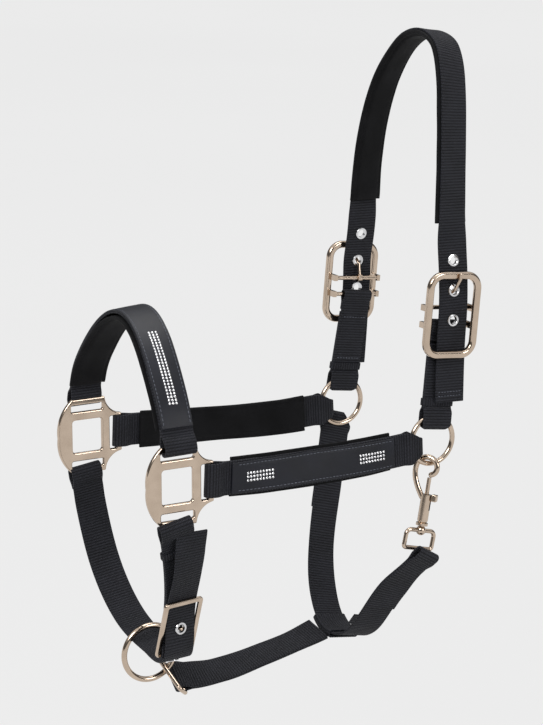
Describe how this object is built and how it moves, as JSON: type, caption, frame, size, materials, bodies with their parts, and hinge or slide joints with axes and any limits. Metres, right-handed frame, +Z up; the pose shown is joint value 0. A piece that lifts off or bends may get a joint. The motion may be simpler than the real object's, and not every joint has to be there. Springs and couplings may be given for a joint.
{
  "type": "horse headcollar",
  "caption": "Horse headcollar in its worn shape: webbing straps with padded linings and overlays, buckles, rings, square plates and a throat snap hook.",
  "frame": {"origin": "where the crown lining rests on the poll, at the top of the wearer's head", "axes": "+X to the wearer's left (near) side, -Y towards the nose, +Z up"},
  "size_m": [0.1668, 0.2873, 0.4952],
  "materials": {
    "webbing": "ribbed black nylon webbing",
    "lining": "matt black closed-cell padding with a smooth knit face",
    "overlay": "smooth dark navy, satin, stitched at both edges",
    "hardware": "polished, pale rose-gold plate",
    "eyelet": "bright rolled eyelets",
    "stud": "small bright domed studs",
    "tag": "plain black woven tape"
  },
  "bodies": {
    "straps": {"crown_webbing": "webbing", "crown_lining": "lining", "near_crown_eyelets": "eyelet", "off_crown_eyelets": "eyelet", "near_buckle_frame": "hardware", "off_buckle_frame": "hardware", "near_billet": "webbing", "off_billet": "webbing", "near_keeper": "webbing", "off_keeper": "webbing", "size_tag": "tag", "near_cheek_webbing": "webbing", "off_cheek_webbing": "webbing", "near_cheek_lining": "lining", "off_cheek_lining": "lining", "near_cheek_overlay": "overlay", "off_cheek_overlay": "overlay", "near_cheek_studs": "stud", "off_cheek_studs": "stud", "near_square": "hardware", "off_square": "hardware", "nose_webbing": "webbing", "nose_lining": "lining", "nose_overlay": "overlay", "nose_studs": "stud", "chin_webbing": "webbing", "chin_buckle_frame": "hardware", "chin_hanger": "webbing", "chin_keeper": "webbing", "chin_eyelets": "eyelet", "throat_webbing": "webbing", "jowl_webbing": "webbing", "throat_sleeve": "overlay", "throat_tab": "tag", "snap_dee": "hardware", "snap_swivel": "hardware"},
    "near_tongue": {"near_buckle_tongue": "hardware"},
    "off_tongue": {"off_buckle_tongue": "hardware"},
    "chin_tongue": {"chin_buckle_tongue": "hardware"},
    "near_ring": {"near_cheek_ring": "hardware"},
    "off_ring": {"off_cheek_ring": "hardware"},
    "lead_ring": {"chin_ring": "hardware"},
    "link": {"jowl_link": "hardware"},
    "hook": {"snap_body": "hardware"},
    "bolt": {"snap_bolt": "hardware"}
  },
  "joints": [
    {"name": "near_tongue_hinge", "type": "hinge", "parent": "straps", "child": "near_tongue", "pos_m": [0.0652, -0.01441, -0.19552], "axis": [0, 0.9962, -0.0872], "range_deg": [0, 1.2]},
    {"name": "off_tongue_hinge", "type": "hinge", "parent": "straps", "child": "off_tongue", "pos_m": [-0.0652, -0.01441, -0.19552], "axis": [0, -0.9962, 0.0872], "range_deg": [0, 1.2]},
    {"name": "chin_tongue_hinge", "type": "hinge", "parent": "straps", "child": "chin_tongue", "pos_m": [0.0565, -0.24, -0.4315], "axis": [-0.1466, 0.9892, 0.0055], "range_deg": [0, 2]},
    {"name": "near_ring_turn", "type": "hinge", "parent": "straps", "child": "near_ring", "pos_m": [0.068, -0.0265, -0.2968], "axis": [1, 0, 0], "continuous": true},
    {"name": "off_ring_turn", "type": "hinge", "parent": "straps", "child": "off_ring", "pos_m": [-0.068, -0.0265, -0.2968], "axis": [1, 0, 0], "continuous": true},
    {"name": "lead_ring_turn", "type": "hinge", "parent": "straps", "child": "lead_ring", "pos_m": [0, -0.233, -0.4526], "axis": [1, 0, 0], "continuous": true},
    {"name": "link_rock", "type": "hinge", "parent": "straps", "child": "link", "pos_m": [0.00437, -0.21325, -0.47672], "axis": [0.8603, 0.1401, -0.4902], "range_deg": [-1.5, 1.5]},
    {"name": "hook_swivel", "type": "hinge", "parent": "straps", "child": "hook", "pos_m": [0.07172, -0.03268, -0.33805], "axis": [0.03, -0.1902, -0.9813], "range_deg": [-1.5, 1.5]},
    {"name": "bolt_slide", "type": "slide", "parent": "hook", "child": "bolt", "axis": [0.03, -0.1902, -0.9813], "range_m": [0, 0.0072], "stiffness_N_per_m": 300, "springref_m": -0.004}
  ]
}
